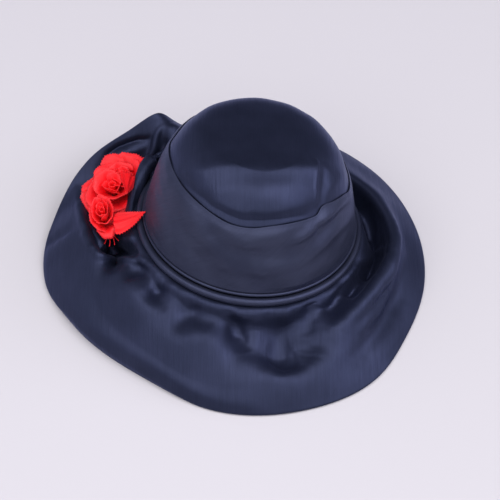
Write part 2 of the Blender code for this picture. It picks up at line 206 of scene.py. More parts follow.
BAND_FOLDS = (
    (-1.4, 5.0, ((318, 214), (317, 224), (321, 238))),
    (2.6, 4.5, ((350, 196), (338, 205), (322, 220), (304, 236), (290, 244))),
    (2.2, 6.0, ((353, 214), (335, 232), (316, 250), (300, 262))),
    (-1.2, 4.0, ((350, 206), (332, 224), (314, 240))),
    (2.2, 14.0, ((262, 268), (296, 280), (334, 262))),
    (2.0, 8.0, ((178, 190), (204, 236), (240, 280))),
    (-1.0, 8.0, ((166, 205), (190, 252), (222, 288))),
    (1.6, 7.0, ((214, 226), (246, 244), (290, 232))),
    (-1.2, 7.0, ((226, 250), (262, 256), (298, 250))),
    (1.2, 6.0, ((230, 262), (262, 272), (300, 262))),
)


# Arrays and curves


def glide(knots, values, at, period=None):
    """Smooth curve through values at knots, read at the places in at. Values run along their first axis.

    Each span is a Hermite cubic whose end slopes come from the knots beside it. With a period the curve
    closes.
    """
    knots = np.asarray(knots, float)
    values = np.asarray(values, float)
    at = np.asarray(at, float)
    if period:
        order = np.argsort(knots % period)
        knots = (knots % period)[order]
        values = values[order]
        knots = np.concatenate([knots[-2:] - period, knots, knots[:2] + period])
        values = np.concatenate([values[-2:], values, values[:2]])
        at = (at - knots[1]) % period + knots[1]
    gaps = np.diff(knots)
    shape = (-1,) + (1,) * (values.ndim - 1)
    slopes = np.diff(values, axis=0) / gaps.reshape(shape)
    middle = (slopes[:-1] * gaps[1:].reshape(shape) + slopes[1:] * gaps[:-1].reshape(shape)) / (
        gaps[:-1] + gaps[1:]
    ).reshape(shape)
    tangents = np.concatenate([slopes[:1], middle, slopes[-1:]])
    span = np.clip(np.searchsorted(knots, at, side="right") - 1, 0, len(gaps) - 1)
    gap = gaps[span].reshape(shape)
    t = ((at - knots[span]) / gaps[span]).reshape(shape)
    return (
        values[span] * (2 * t**3 - 3 * t**2 + 1)
        + tangents[span] * gap * (t**3 - 2 * t**2 + t)
        + values[span + 1] * (3 * t**2 - 2 * t**3)
        + tangents[span + 1] * gap * (t**3 - t**2)
    )


def bell(distance, half_width):
    """1 at no distance, falling as a Gaussian."""
    return np.exp(-((distance / half_width) ** 2))


def turn_between(a, b):
    """Signed difference of two azimuths in degrees, from -180 to 180."""
    return (np.asarray(a) - b + 180) % 360 - 180


def unit(vectors):
    return vectors / np.maximum(np.linalg.norm(vectors, axis=-1, keepdims=True), 1e-12)


def in_picture(points):
    """Where points fall in the photograph, across and down in its pixels, and how far from the lens."""
    back = np.array([0.0, -math.cos(CAMERA_ELEVATION), math.sin(CAMERA_ELEVATION)])
    up = np.array([0.0, math.sin(CAMERA_ELEVATION), math.cos(CAMERA_ELEVATION)])
    seen = points - (AIM + CAMERA_DISTANCE * back)
    away = -(seen @ back)
    focal = LENS / SENSOR * PHOTO_WIDTH
    return PHOTO_WIDTH / 2 + focal * seen[..., 0] / away, PHOTO_WIDTH / 2 - focal * (seen @ up) / away, away


def under_line(surface, line, steps=4):
    """Points of a surface under a line of the photograph: of its points within a pixel or so, the one that is
    nearest to the camera, at evenly spaced places between the line's stops."""
    across, down, away = in_picture(surface)
    stops = np.array(line, float)
    places = np.linspace(0, len(stops) - 1, steps * (len(stops) - 1) + 1)
    found = []
    for place in places:
        x, y = (np.interp(place, np.arange(len(stops)), stops[:, k]) for k in (0, 1))
        miss = np.hypot(across - x, down - y)
        found.append(np.where(miss < miss.min() + 1.0, away, np.inf).argmin())
    return surface.reshape(-1, 3)[found]


def fold_heights(surface, folds):
    """Sum of the folds at each point of a grid, in metres.

    A fold's height falls off as a Gaussian of the distance to its line on the surface, and fades as a sine
    towards the line's two ends.
    """
    total = np.zeros(surface.shape[:2])
    for height, half_width, line in folds:
        path = under_line(surface, line)
        reach = 3 * half_width / 1000
        near = ((surface > path.min(0) - reach) & (surface < path.max(0) + reach)).all(-1)
        points = surface[near]
        passed = np.linspace(0, 1, len(path))
        nearest = np.full(len(points), 1.0)
        place = np.zeros(len(points))
        for k, (start, step) in enumerate(zip(path, np.diff(path, axis=0))):
            t = np.clip((points - start) @ step / max(step @ step, 1e-12), 0, 1)
            distance = np.linalg.norm(points - start - t[:, None] * step, axis=1)
            closer = distance < nearest
            place = np.where(closer, passed[k] + t * (passed[k + 1] - passed[k]), place)
            nearest = np.where(closer, distance, nearest)
        fade = np.sin(math.pi * (0.10 + 0.80 * place))
        total[near] += height / 1000 * bell(nearest, half_width / 1000) * fade
    return total


def soft_noise(u, v, size, seed):
    """Smooth noise, mostly from -1 to 1, over (u, v) in metres: plane waves of random heading, about size
    long."""
    waves = np.random.default_rng(seed)
    total = 0.0
    for _ in range(12):
        heading = waves.uniform(0, 2 * math.pi)
        length = size * waves.uniform(0.7, 1.6)
        along = (u * math.cos(heading) + v * math.sin(heading)) * 2 * math.pi / length
        total = total + np.sin(along + waves.uniform(0, 6.3))
    return total / 4.5


# Meshes


def mesh_object(name, points, faces, materials, uv=None):
    """An object at the origin from points (n, 3) and faces (m, 4), with a UV per face corner if given."""
    mesh = bpy.data.meshes.new(name)
    mesh.from_pydata(np.asarray(points).tolist(), [], np.asarray(faces).tolist())
    if uv is not None:
        layer = mesh.uv_layers.new(name="cloth")
        layer.data.foreach_set("uv", np.asarray(uv, np.float32).ravel())
    for material in materials:
        mesh.materials.append(material)
    mesh.shade_smooth()
    piece = bpy.data.objects.new(name, mesh)
    bpy.context.scene.collection.objects.link(piece)
    return piece


def grid_faces(columns, rows, around=False, across=False):
    """Quads of a grid with columns x rows points, closed round either way if asked."""
    index = np.arange(columns * rows).reshape(columns, rows)
    if around:
        index = np.concatenate([index, index[:1]])
    if across:
        index = np.concatenate([index, index[:, :1]], axis=1)
    return np.stack([index[:-1, :-1], index[1:, :-1], index[1:, 1:], index[:-1, 1:]], -1).reshape(-1, 4)


def cloth_object(name, surface, material, around=True, across=False, scale=(1.0, 1.0)):
    """Object of a grid of points. Its UV is (column, row) in shares times scale, for a pattern along the
    cloth."""
    columns, rows = surface.shape[:2]
    faces = grid_faces(columns, rows, around, across)
    u_count = columns + (1 if around else 0)
    v_count = rows + (1 if across else 0)
    u, v = np.meshgrid(np.linspace(0, scale[0], u_count), np.linspace(0, scale[1], v_count), indexing="ij")
    uv = np.stack([u, v], -1)
    corners = np.stack([uv[:-1, :-1], uv[1:, :-1], uv[1:, 1:], uv[:-1, 1:]], 2).reshape(-1, 2)
    return mesh_object(name, surface.reshape(-1, 3), faces, [material], corners)


def surface_normals(surface, around=True):
    """Unit normals of a grid, from the cross product of its two central differences."""
    if around:
        along = np.roll(surface, -1, axis=0) - np.roll(surface, 1, axis=0)
    else:
        along = np.gradient(surface, axis=0)
    across = np.gradient(surface, axis=1)
    return unit(np.cross(along, across))


def two_sided(middle, normal, thickness, nose=5):
    """Closed cross section of a cloth: its upper skin, a half round edge, and its lower skin going back."""
    half = np.broadcast_to(np.asarray(thickness) / 2, middle.shape[:2])[..., None]
    outward = unit(middle[:, -1] - middle[:, -2])[:, None]
    angle = np.linspace(0, math.pi, nose + 2)[1:-1][None, :, None]
    rim = middle[:, -1:] + half[:, -1:] * (np.cos(angle) * normal[:, -1:] + np.sin(angle) * outward)
    return np.concatenate([middle + normal * half, rim, (middle - normal * half)[:, ::-1]], axis=1)


def weld(piece, distance=1e-6):
    """Merges points that lie together, so that poles close, and turns the faces outwards."""
    shell = bmesh.new()
    shell.from_mesh(piece.data)
    bmesh.ops.remove_doubles(shell, verts=shell.verts, dist=distance)
    bmesh.ops.recalc_face_normals(shell, faces=shell.faces)
    shell.to_mesh(piece.data)
    shell.free()
    piece.data.shade_smooth()


# The hat's surfaces


def crown_matrix():
    """Carries the crown's own frame, foot at its origin and axis along +Z, to its place above the table."""
    lean = Euler((-math.radians(CROWN_LEAN_BACK), math.radians(CROWN_LEAN_RIGHT), 0), "YXZ")
    return np.array(Matrix.Translation(FOOT) @ lean.to_matrix().to_4x4())


def placed(points):
    carry = crown_matrix()
    return points @ carry[:3, :3].T + carry[:3, 3]


def oval(azimuth, beyond=0.0):
    """Distance from the crown's axis to its foot oval, grown by beyond."""
    turn = np.radians(azimuth)
    half_width = HEAD_WIDTH / 2 + CROWN_WALL
    half_length = HEAD_LENGTH / 2 + CROWN_WALL
    return 1 / np.hypot(np.cos(turn) / half_width, np.sin(turn) / half_length) + beyond


def narrowing(share):
    """How much of its foot radius the crown keeps at a share of its height: a superellipse on a taper."""
    share = np.clip(share, 0, 1)
    return (1 - share**CROWN_ROUNDNESS) ** (1 / CROWN_ROUNDNESS) * (1 - CROWN_NARROWING * share)


def band_edge(azimuth):
    edge_azimuth, edge_share = zip(*BAND_EDGE)
    return BAND_TOP * glide(edge_azimuth, edge_share, azimuth, period=360)


def crown_surface(columns, rows):
    """Outer skin of the crown. Its profile is a superellipse, pushed in and out by folds, but by no more than
    0.6 mm inwards at the band's edge, so that no slit opens there. Under the band it is drawn in by 1 mm."""
    azimuth, climb = np.meshgrid(np.arange(columns) * 360 / columns, np.linspace(0, 1, rows), indexing="ij")
    climb = climb**0.75 * math.pi / 2
    across = np.clip(np.cos(climb), 0, 1) ** (2 / CROWN_ROUNDNESS)
    across[:, -1] = 0.0
    share = np.sin(climb) ** (2 / CROWN_ROUNDNESS)
    radius = oval(azimuth) * across * (1 - CROWN_NARROWING * share)
    up = CROWN_HEIGHT * share
    turn = np.radians(azimuth)
    surface = np.stack([radius * np.cos(turn), radius * np.sin(turn), up], -1)
    outward = unit(np.stack([np.cos(turn) * across**2, np.sin(turn) * across**2, share**6 + 1e-3], -1))
    push = fold_heights(placed(surface), CROWN_FOLDS)
    under_band = share * CROWN_HEIGHT - band_edge(azimuth[:, 0])[:, None]
    deepest = 0.0006 + 0.0040 * np.clip(np.abs(under_band) / 0.012, 0, 1)
    push = np.maximum(push, -deepest)
    push -= 0.0010 * (under_band < 0) * (1 - bell(under_band, 0.005))
    push += 0.00022 * soft_noise(surface[..., 0], surface[..., 1] + surface[..., 2], 0.030, 3)
    push *= np.clip((1 - share) / 0.02, 0, 1)
    return placed(surface + outward * push[..., None])


def band_foot():
    """Height of the band's lower edge above the crown's foot: it stands on the two welts."""
    return 3 * CLEARANCE - SEAM_DROP + LOWER_WELT_HEIGHT + UPPER_WELT_THICKNESS


def band_surface(columns, rows):
    """Middle skin of the band, with its draped folds and its rolled upper edge."""
    azimuth, climb = np.meshgrid(np.arange(columns) * 360 / columns, np.linspace(0, 1, rows), indexing="ij")
    top = band_edge(azimuth[:, 0])[:, None]
    up = band_foot() + (top - band_foot()) * climb
    turn = np.radians(azimuth)
    radius = oval(azimuth) * narrowing(up / CROWN_HEIGHT) + 0.0006 + BAND_WALL / 2
    plain = np.stack([radius * np.cos(turn), radius * np.sin(turn), up], -1)
    push = fold_heights(placed(plain), BAND_FOLDS) * np.clip((1 - climb) / 0.06, 0.25, 1)
    push *= np.clip(climb / 0.08, 0, 1)
    push -= 0.0006 * bell(top - up, 0.0030)
    push += 0.00018 * soft_noise(np.radians(azimuth) * 0.09, up * 2.2, 0.034, 5) * np.clip(climb / 0.08, 0, 1)
    radius = radius + np.maximum(push, -0.0011)
    return placed(np.stack([radius * np.cos(turn), radius * np.sin(turn), up], -1))


def welt_surface(foot, height, depth, columns, sides, seed):
    """A padded roll: an ellipse of the given height and depth, carried round the crown's oval."""
    azimuth, roll = np.meshgrid(
        np.arange(columns) * 360 / columns, np.arange(sides) * 2 * math.pi / sides, indexing="ij"
    )
    swell = 1 + 0.05 * soft_noise(np.radians(azimuth) * 0.095, 0 * azimuth, 0.030, seed)
    middle = oval(azimuth) * narrowing(max(foot + height / 2, 0) / CROWN_HEIGHT) + CLEARANCE + depth / 2
    radius = middle + depth / 2 * np.cos(roll) * swell
    up = foot + height / 2 + height / 2 * np.sin(roll) * swell
    turn = np.radians(azimuth)
    return placed(np.stack([radius * np.cos(turn), radius * np.sin(turn), up], -1))[:, ::-1]


def brim_line(azimuth):
    """Eight points of the brim's line at each azimuth: seam, margin, the section's first three points, then
    its edge as a shoulder, a rim, and a hem that is tucked under where the rim rests on the table."""
    turn = np.radians(azimuth)

    def seam(out):
        radius = oval(azimuth) + CLEARANCE + out
        level = np.full_like(radius, -SEAM_DROP - BRIM_WALL / 2)
        return placed(np.stack([radius * np.cos(turn), radius * np.sin(turn), level], -1))

    table = np.array([[value for pair in row[1:] for value in pair] for row in BRIM_SECTIONS])
    section = glide([row[0] for row in BRIM_SECTIONS], table, azimuth, period=360).reshape(-1, 4, 2)
    radius = oval(azimuth)[:, None] + section[..., 0] * BRIM_REACH
    heading = np.stack([np.cos(turn), np.sin(turn)], -1)[:, None]
    level = section[..., 1:] * FOOT[2]
    stops = np.concatenate([radius[..., None] * heading + FOOT[:2], level], -1)
    rest = BRIM_WALL / 2 + TABLE_GAP
    stops[..., 2] = np.maximum(stops[..., 2], rest)
    outward = unit(stops[:, 3] - stops[:, 2])
    tip = stops[:, 3] + outward * BRIM_LIP
    resting = bell(stops[:, 3, 2], 0.012)[:, None]
    roll = (0.0020 + 0.0040 * bell(turn_between(azimuth, 222), 38))[:, None] * resting * (0, 0, 1)
    shoulder = stops[:, 3] + roll * 1.6
    rim = tip + roll
    under = tip - outward * (1, 1, 0) * 0.0022 * resting
    for point in (shoulder, rim, under):
        point[:, 2] = np.maximum(point[:, 2], rest)
    under[:, 2] = np.where(resting[:, 0] > 0.5, rest, under[:, 2])
    return np.stack([seam(0.0), seam(BRIM_MARGIN), *np.moveaxis(stops[:, :3], 1, 0), shoulder, rim, under])


def brim_surface(columns, rows):
    """Middle skin of the brim: a smooth loft through the sections, with gathers, folds and fine puckers."""
    azimuth = np.arange(columns) * 360 / columns
    share = np.linspace(0, 1, rows)
    knots = (0.0, 0.09, 0.24, 0.50, 0.76, 0.93, 0.975, 1.0)
    surface = np.moveaxis(glide(knots, brim_line(azimuth), share), 0, 1).copy()
    across = share[None, :]
    gathers = np.zeros(surface.shape[:2])
    for at, half_turn, depth, fade in BRIM_GATHERS:
        along = np.clip(across / fade, 0, 1)
        reach = 16 * along**2 * (1 - along) ** 2
        gathers -= depth * GATHER_DEPTH * bell(turn_between(azimuth, at), half_turn / 1.4)[:, None] * reach
    surface[..., 2] += gathers
    upward = -surface_normals(surface)
    round_seam = azimuth[:, None]
    push = fold_heights(surface, BRIM_FOLDS)
    pucker = soft_noise(np.radians(round_seam) * 0.10, 0.20 * across * 0.095, 0.0070, 11)
    near_seam = np.clip((across - 0.06) / 0.05, 0, 1) * np.exp(-np.clip(across - 0.10, 0, 1) / 0.08)
    push += 0.00030 * pucker * near_seam
    push += 0.00035 * soft_noise(surface[..., 0], surface[..., 1], 0.040, 13) * np.clip(across / 0.3, 0, 1)
    push *= np.clip((across - 0.06) / 0.06, 0, 1) * np.clip((0.97 - across) / 0.06, 0, 1)
    surface += upward * push[..., None]
    surface[..., 2] = np.maximum(surface[..., 2], BRIM_WALL / 2 + TABLE_GAP)
    return surface


# Roses and leaves


def petals(rows_of_petals, columns, rows, seed):
    """Overlapping petals round +Z. Each row is a petal: azimuth, span, foot radius, rim radius, height,
    flare, droop, lift.

    A petal is a strip u across and v up. It opens from its foot to its rim radius as v to the power flare,
    rises by height and droops again as v to the fourth. One side is tucked in and the other rides out, as a
    wound ribbon does. Sine waves crumple it, and its rim is pinked and frayed.
    """
    own = np.random.default_rng(seed)
    azimuth, span, foot, rim, height, flare, droop, lift = (
        np.array(column, float)[:, None, None] for column in zip(*rows_of_petals)
    )
    count = len(rows_of_petals)
    u = np.linspace(-1, 1, columns)[None, :, None]
    v = np.linspace(0, 1, rows)[None, None, :]
    wave = own.uniform(0, 6.3, (count, 1, 1))
    turn = np.radians(azimuth + u * span / 2 * (0.50 + 0.50 * v**0.7))
    reach = foot + (rim - foot) * v**flare
    reach = reach * (1 + 0.12 * u * v) * (1 + 0.07 * np.sin(2.6 * u + wave) * v**2)
    reach = reach * (1 - 0.10 * np.abs(u) ** 5 * v**2)
    teeth = np.where(np.arange(columns) % 2, 1, -1)[None, :, None]
    teeth = teeth * own.uniform(0.2, 1.0, (count, columns, 1))
    rounded = 1 - 0.24 * u**2 * v - 0.22 * np.abs(u) ** 6 * v
    up = height * (v - droop * v**4 * (1 - 0.3 * u**2)) * rounded + lift
    rim_teeth = 0.0005 * teeth * (v > 0.97)
    up = up + height * 0.06 * np.sin(3.9 * u + wave * 2) * v**3 + 0.0003 * np.sin(9 * u - 7 * v + wave) * v
    reach = reach + 0.0007 * np.sin(8.5 * u + wave * 3) * v * np.sin(math.pi * v)
    reach = reach + 0.0003 * np.sin(12 * u + 7 * v + wave * 5) * v + rim_teeth
    up = up + rim_teeth
    return np.stack([reach * np.cos(turn), reach * np.sin(turn), np.broadcast_to(up, reach.shape)], -1)


def wound_heart(turns, columns, rows, foot, rim, height, start):
    """The rolled heart of a rose: a strip on a spiral whose radius grows evenly and whose top leans
    outwards."""
    u, v = np.meshgrid(np.linspace(0, 1, columns), np.linspace(0, 1, rows), indexing="ij")
    turn = math.radians(start) + 2 * math.pi * turns * u
    radius = (0.18 + 0.82 * u) * (foot + (rim - foot) * v**1.4) * (1 + 0.08 * np.sin(turn * 1.3))
    up = height * (v - 0.10 * u * v**4) * (1 - 0.12 * u) + 0.03 * height * np.sin(turn * 1.7) * v
    return np.stack([radius * np.cos(turn), radius * np.sin(turn), up], -1)[None]


def thread_ends(starts, ends, sag, width, steps):
    """Ribbon-wide threads from each start to each end that sag below the straight line between them."""
    starts, ends = np.asarray(starts, float), np.asarray(ends, float)
    t = np.linspace(0, 1, steps)[None, :, None]
    middle = starts[:, None] + (ends - starts)[:, None] * t + np.array([0, 0, -1.0]) * sag * 4 * t * (1 - t)
    heading = unit(np.gradient(middle, axis=1))
    side = unit(np.cross(heading, (0, 0, 1.0))) * width / 2 * (1 - 0.5 * t)
    return np.stack([middle - side, middle, middle + side], 2)


def leaf_strip(length, width, fold, curl, columns, rows, seed):
    """A ribbon leaf along +X: wide at its cut root and tapering to a point, with pinked edges and creases
    whose height falls off as an exponential of the distance across."""
    own = np.random.default_rng(seed)
    u, v = np.meshgrid(np.linspace(0, 1, columns), np.linspace(-1, 1, rows), indexing="ij")
    half = width / 2 * np.clip(1.03 - u**1.3, 0.02, 1) * (1 - 0.12 * np.clip(0.12 - u, 0, 1) / 0.12)
    teeth = np.where(np.arange(columns) % 2, 1.0, -1.0)[:, None] * (np.abs(v) > 0.93) * (u < 0.95)
    across = half * v + np.sign(v) * teeth * 0.00060
    up = -np.abs(across) * math.tan(math.radians(fold)) + curl * length * (u - 0.5) ** 2 * 4
    for crease, depth in ((0.45, 0.0012), (0.10, -0.0012), (-0.15, 0.0014), (-0.55, -0.0010)):
        up = up + depth * np.exp(-np.abs(v - crease) / 0.10) * (1 - 0.7 * u)
    up = up + 0.0006 * np.sin(5 * u + own.uniform(0, 6)) * v
    return np.stack([length * (u - 0.5), across, up], -1)[None]


def strips_object(name, groups, material, wall, turns, middle, rest_on, stretch=(1, 1, 1)):
    """One piece from groups of strips, each (count, columns, rows, 3): stretched and turned, then set with
    its middle over middle (x, y) and its lowest point at rest_on, and given a thickness."""
    points, faces, corners = [], [], []
    first = 0
    for group in groups:
        count, columns, rows = group.shape[:3]
        quads = grid_faces(columns, rows)
        offsets = (np.arange(count) * columns * rows)[:, None, None]
        faces.append((quads[None] + offsets).reshape(-1, 4) + first)
        u, v = np.meshgrid(np.linspace(0, 1, columns), np.linspace(0, 1, rows), indexing="ij")
        uv = np.stack([u, v], -1).reshape(-1, 2)[quads]
        corners.append(np.tile(uv[None], (count, 1, 1, 1)).reshape(-1, 2))
        points.append(group.reshape(-1, 3))
        first += count * columns * rows
    points = np.concatenate(points) * stretch
    carry = np.array(Euler([math.radians(turn) for turn in turns]).to_matrix())
    points = points @ carry.T
    low, high = points.min(0), points.max(0)
    points[:, :2] += np.array(middle) - (low[:2] + high[:2]) / 2
    points[:, 2] += rest_on - low[2] + wall / 2
    piece = mesh_object(name, points, np.concatenate(faces), [material], np.concatenate(corners))
    thicken = piece.modifiers.new("wall", "SOLIDIFY")
    thicken.thickness = wall
    thicken.offset = 0
    return piece


# Materials


def group_socket(tree, name, kind, output=False, value=None):
    socket = tree.interface.new_socket(name=name, in_out="OUTPUT" if output else "INPUT", socket_type=kind)
    if value is not None:
        socket.default_value = value
    return socket


def satin_threads_group():
    """Shader group for satin: long floats of thread along one direction, slubs, and broad clouds of shade."""
    tree = bpy.data.node_groups.new("satin_threads", "ShaderNodeTree")
    group_socket(tree, "Thread Direction", "NodeSocketVector")
    group_socket(tree, "Cloth", "NodeSocketColor", value=(0.02, 0.02, 0.05, 1))
    group_socket(tree, "Cloud", "NodeSocketColor", value=(0.03, 0.03, 0.06, 1))
    group_socket(tree, "Gloss", "NodeSocketFloat", value=0.4)
    group_socket(tree, "Colour", "NodeSocketColor", output=True)
    group_socket(tree, "Roughness", "NodeSocketFloat", output=True)
    group_socket(tree, "Height", "NodeSocketFloat", output=True)
    nodes, links = tree.nodes, tree.links
    entry = nodes.new("NodeGroupInput")
    leave = nodes.new("NodeGroupOutput")

    def stretched_noise(scale, detail, roughness):
        mapping = nodes.new("ShaderNodeMapping")
        mapping.inputs["Scale"].default_value = scale
        links.new(entry.outputs["Thread Direction"], mapping.inputs["Vector"])
        noise = nodes.new("ShaderNodeTexNoise")
        noise.inputs["Scale"].default_value = 1.0
        noise.inputs["Detail"].default_value = detail
        noise.inputs["Roughness"].default_value = roughness
        links.new(mapping.outputs["Vector"], noise.inputs["Vector"])
        return noise.outputs["Fac"]

    def blend(factor, a, b):
        mix = nodes.new("ShaderNodeMix")
        mix.data_type = "RGBA"
        links.new(factor, mix.inputs["Factor"])
        for value, socket in ((a, mix.inputs["A"]), (b, mix.inputs["B"])):
            links.new(value, socket)
        return mix.outputs["Result"]

    threads = stretched_noise((1500, 60, 60), 2.0, 0.6)
    slubs = stretched_noise((420, 22, 22), 3.0, 0.6)
    clouds = stretched_noise((28, 28, 28), 3.0, 0.5)

    sharpen = nodes.new("ShaderNodeMapRange")
    sharpen.inputs["From Min"].default_value = 0.38
    sharpen.inputs["From Max"].default_value = 0.66
    links.new(clouds, sharpen.inputs["Value"])
    shade = blend(sharpen.outputs["Result"], entry.outputs["Cloth"], entry.outputs["Cloud"])

    line = nodes.new("ShaderNodeMath")
    line.operation = "ADD"
    links.new(threads, line.inputs[0])
    links.new(slubs, line.inputs[1])
    bright = nodes.new("ShaderNodeMapRange")
    bright.inputs["From Min"].default_value = 0.7
    bright.inputs["From Max"].default_value = 1.3
    bright.inputs["To Min"].default_value = 0.92
    bright.inputs["To Max"].default_value = 1.09
    links.new(line.outputs[0], bright.inputs["Value"])
    scale = nodes.new("ShaderNodeVectorMath")
    scale.operation = "SCALE"
    links.new(shade, scale.inputs[0])
    links.new(bright.outputs["Result"], scale.inputs["Scale"])
    links.new(scale.outputs["Vector"], leave.inputs["Colour"])

    rough = nodes.new("ShaderNodeMapRange")
    rough.inputs["From Min"].default_value = 0.7
    rough.inputs["From Max"].default_value = 1.3
    rough.inputs["To Min"].default_value = 0.05
    rough.inputs["To Max"].default_value = -0.05
    links.new(line.outputs[0], rough.inputs["Value"])
    total = nodes.new("ShaderNodeMath")
    total.operation = "ADD"
    links.new(rough.outputs["Result"], total.inputs[0])
    links.new(entry.outputs["Gloss"], total.inputs[1])
    links.new(total.outputs[0], leave.inputs["Roughness"])
    links.new(line.outputs[0], leave.inputs["Height"])
    return tree


def satin_material(name, threads, cloth, cloud, gloss, direction, turn, bump, sheen, tint, metal):
    """Satin: the thread group feeds colour, roughness and bump. Direction is Object or UV coordinates."""
    material = bpy.data.materials.new(name)
    material.use_nodes = True
    nodes, links = material.node_tree.nodes, material.node_tree.links
    shader = nodes["Principled BSDF"]
    coordinates = nodes.new("ShaderNodeTexCoord")
    mapping = nodes.new("ShaderNodeMapping")
    mapping.inputs["Rotation"].default_value = [math.radians(angle) for angle in turn]
    links.new(coordinates.outputs[direction], mapping.inputs["Vector"])
    weave = nodes.new("ShaderNodeGroup")
    weave.node_tree = threads
    weave.inputs["Cloth"].default_value = (*cloth, 1)
    weave.inputs["Cloud"].default_value = (*cloud, 1)
    weave.inputs["Gloss"].default_value = gloss
    links.new(mapping.outputs["Vector"], weave.inputs["Thread Direction"])
    links.new(weave.outputs["Colour"], shader.inputs["Base Color"])
    links.new(weave.outputs["Roughness"], shader.inputs["Roughness"])
    relief = nodes.new("ShaderNodeBump")
    relief.inputs["Strength"].default_value = 1.0
    relief.inputs["Distance"].default_value = bump
    links.new(weave.outputs["Height"], relief.inputs["Height"])
    links.new(relief.outputs["Normal"], shader.inputs["Normal"])
    shader.inputs["Metallic"].default_value = metal
    shader.inputs["Specular IOR Level"].default_value = 0.5
    shader.inputs["Specular Tint"].default_value = (*tint, 1)
    shader.inputs["Sheen Weight"].default_value = sheen
    shader.inputs["Sheen Roughness"].default_value = 0.35
    shader.inputs["Sheen Tint"].default_value = (*tint, 1)
    return material


threads = satin_threads_group()
navy = dict(
    cloth=(0.0165, 0.0200, 0.0400), cloud=(0.0215, 0.0255, 0.0510), tint=(0.50, 0.57, 1.0), metal=0.62
)
# Band and welts: the crown's navy satin with a lighter colour, which is painted light for the front light their
# upright faces catch
painted_lit_navy = dict(
    cloth=(0.0240, 0.0275, 0.0500), cloud=(0.0330, 0.0375, 0.0650), tint=(0.52, 0.58, 1.0), metal=0.55
)
red = dict(cloth=(0.74, 0.003, 0.008), cloud=(0.90, 0.008, 0.014), tint=(1.0, 0.45, 0.45), metal=0.0)
straight = dict(direction="Object", turn=(0, 0, 0), bump=0.00013, sheen=0.04)
bias = dict(direction="UV", turn=(0, 0, 45), bump=0.00010, sheen=0.04)
crown_satin = satin_material("crown_satin", threads, gloss=0.38, **straight, **navy)
brim_satin = satin_material("brim_satin", threads, gloss=0.45, **straight, **navy)
band_satin = satin_material("band_satin", threads, gloss=0.42, **bias, **painted_lit_navy)
welt_satin = satin_material("welt_satin", threads, gloss=0.38, **bias, **painted_lit_navy)
ribbon_red = satin_material(
    "red_ribbon", threads, gloss=0.42, direction="Object", turn=(0, 20, 30), bump=0.00008, sheen=0.06, **red
)


def lighten_rims(material, colour):
    """Mixes the colour in near the free edge of each petal, where light comes through the thin cloth."""
    nodes, links = material.node_tree.nodes, material.node_tree.links
    shader = nodes["Principled BSDF"]
    cloth = shader.inputs["Base Color"].links[0].from_socket
    place = nodes.new("ShaderNodeTexCoord")
    parts = nodes.new("ShaderNodeSeparateXYZ")
    rim = nodes.new("ShaderNodeMapRange")
    rim.interpolation_type = "SMOOTHSTEP"
    rim.inputs["From Min"].default_value = 0.55
    rim.inputs["From Max"].default_value = 1.0
    rim.inputs["To Max"].default_value = 0.85
    mix = nodes.new("ShaderNodeMix")
    mix.data_type = "RGBA"
    mix.inputs["B"].default_value = (*colour, 1)
    links.new(place.outputs["UV"], parts.inputs["Vector"])
    links.new(parts.outputs["Y"], rim.inputs["Value"])
    links.new(rim.outputs["Result"], mix.inputs["Factor"])
    links.new(cloth, mix.inputs["A"])
    links.new(mix.outputs["Result"], shader.inputs["Base Color"])
    shader.inputs["Subsurface Weight"].default_value = 0.18
    shader.inputs["Subsurface Radius"].default_value = (1.0, 0.15, 0.12)
    shader.inputs["Subsurface Scale"].default_value = 0.004


lighten_rims(ribbon_red, (1.0, 0.030, 0.038))

# The pieces

crown_skin = crown_surface(columns=384, rows=110)
crown = cloth_object("crown_cover", crown_skin, crown_satin, scale=(0.55, 0.16))
crown_wall = crown.modifiers.new("wall", "SOLIDIFY")
crown_wall.thickness = 0.0014
crown_wall.offset = -1
weld(crown)

BAND_ROWS = 60
band_middle = band_surface(columns=480, rows=BAND_ROWS)
band_thickness = BAND_WALL * (1 - 0.45 * np.linspace(0, 1, BAND_ROWS)[None, :] ** 10)
band = cloth_object(
    "draped_band",
    two_sided(band_middle, surface_normals(band_middle), band_thickness),
    band_satin,
    across=True,
    scale=(0.56, 0.14),
)
weld(band)

foot_lower = CLEARANCE - SEAM_DROP
foot_upper = foot_lower + LOWER_WELT_HEIGHT + CLEARANCE
lower_welt = cloth_object(
    "lower_roll",
    welt_surface(foot_lower, LOWER_WELT_HEIGHT, LOWER_WELT_DEPTH, columns=360, sides=24, seed=21),
    welt_satin,
    across=True,
    scale=(0.60, 0.021),
)
weld(lower_welt)
upper_welt = cloth_object(
    "upper_piping",
    welt_surface(foot_upper, UPPER_WELT_THICKNESS, UPPER_WELT_THICKNESS, columns=360, sides=16, seed=22),
    welt_satin,
    across=True,
    scale=(0.60, 0.009),
)
weld(upper_welt)

BRIM_COLUMNS = 456
BRIM_ROWS = 104
brim_middle = brim_surface(BRIM_COLUMNS, BRIM_ROWS)
brim_share = np.linspace(0, 1, BRIM_ROWS)[None, :]
brim_thickness = BRIM_WALL * (1 - 0.35 * brim_share**6)
brim_skin = two_sided(brim_middle, -surface_normals(brim_middle), brim_thickness, nose=7)
brim_skin[..., 2] = np.maximum(brim_skin[..., 2], 0.0)
brim = cloth_object("gathered_brim", brim_skin, brim_satin, across=True, scale=(1.0, 0.2))
weld(brim)


def box_middle(node):
    low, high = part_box(node)
    return ((low[0] + high[0]) / 2, (low[1] + high[1]) / 2), low[2]


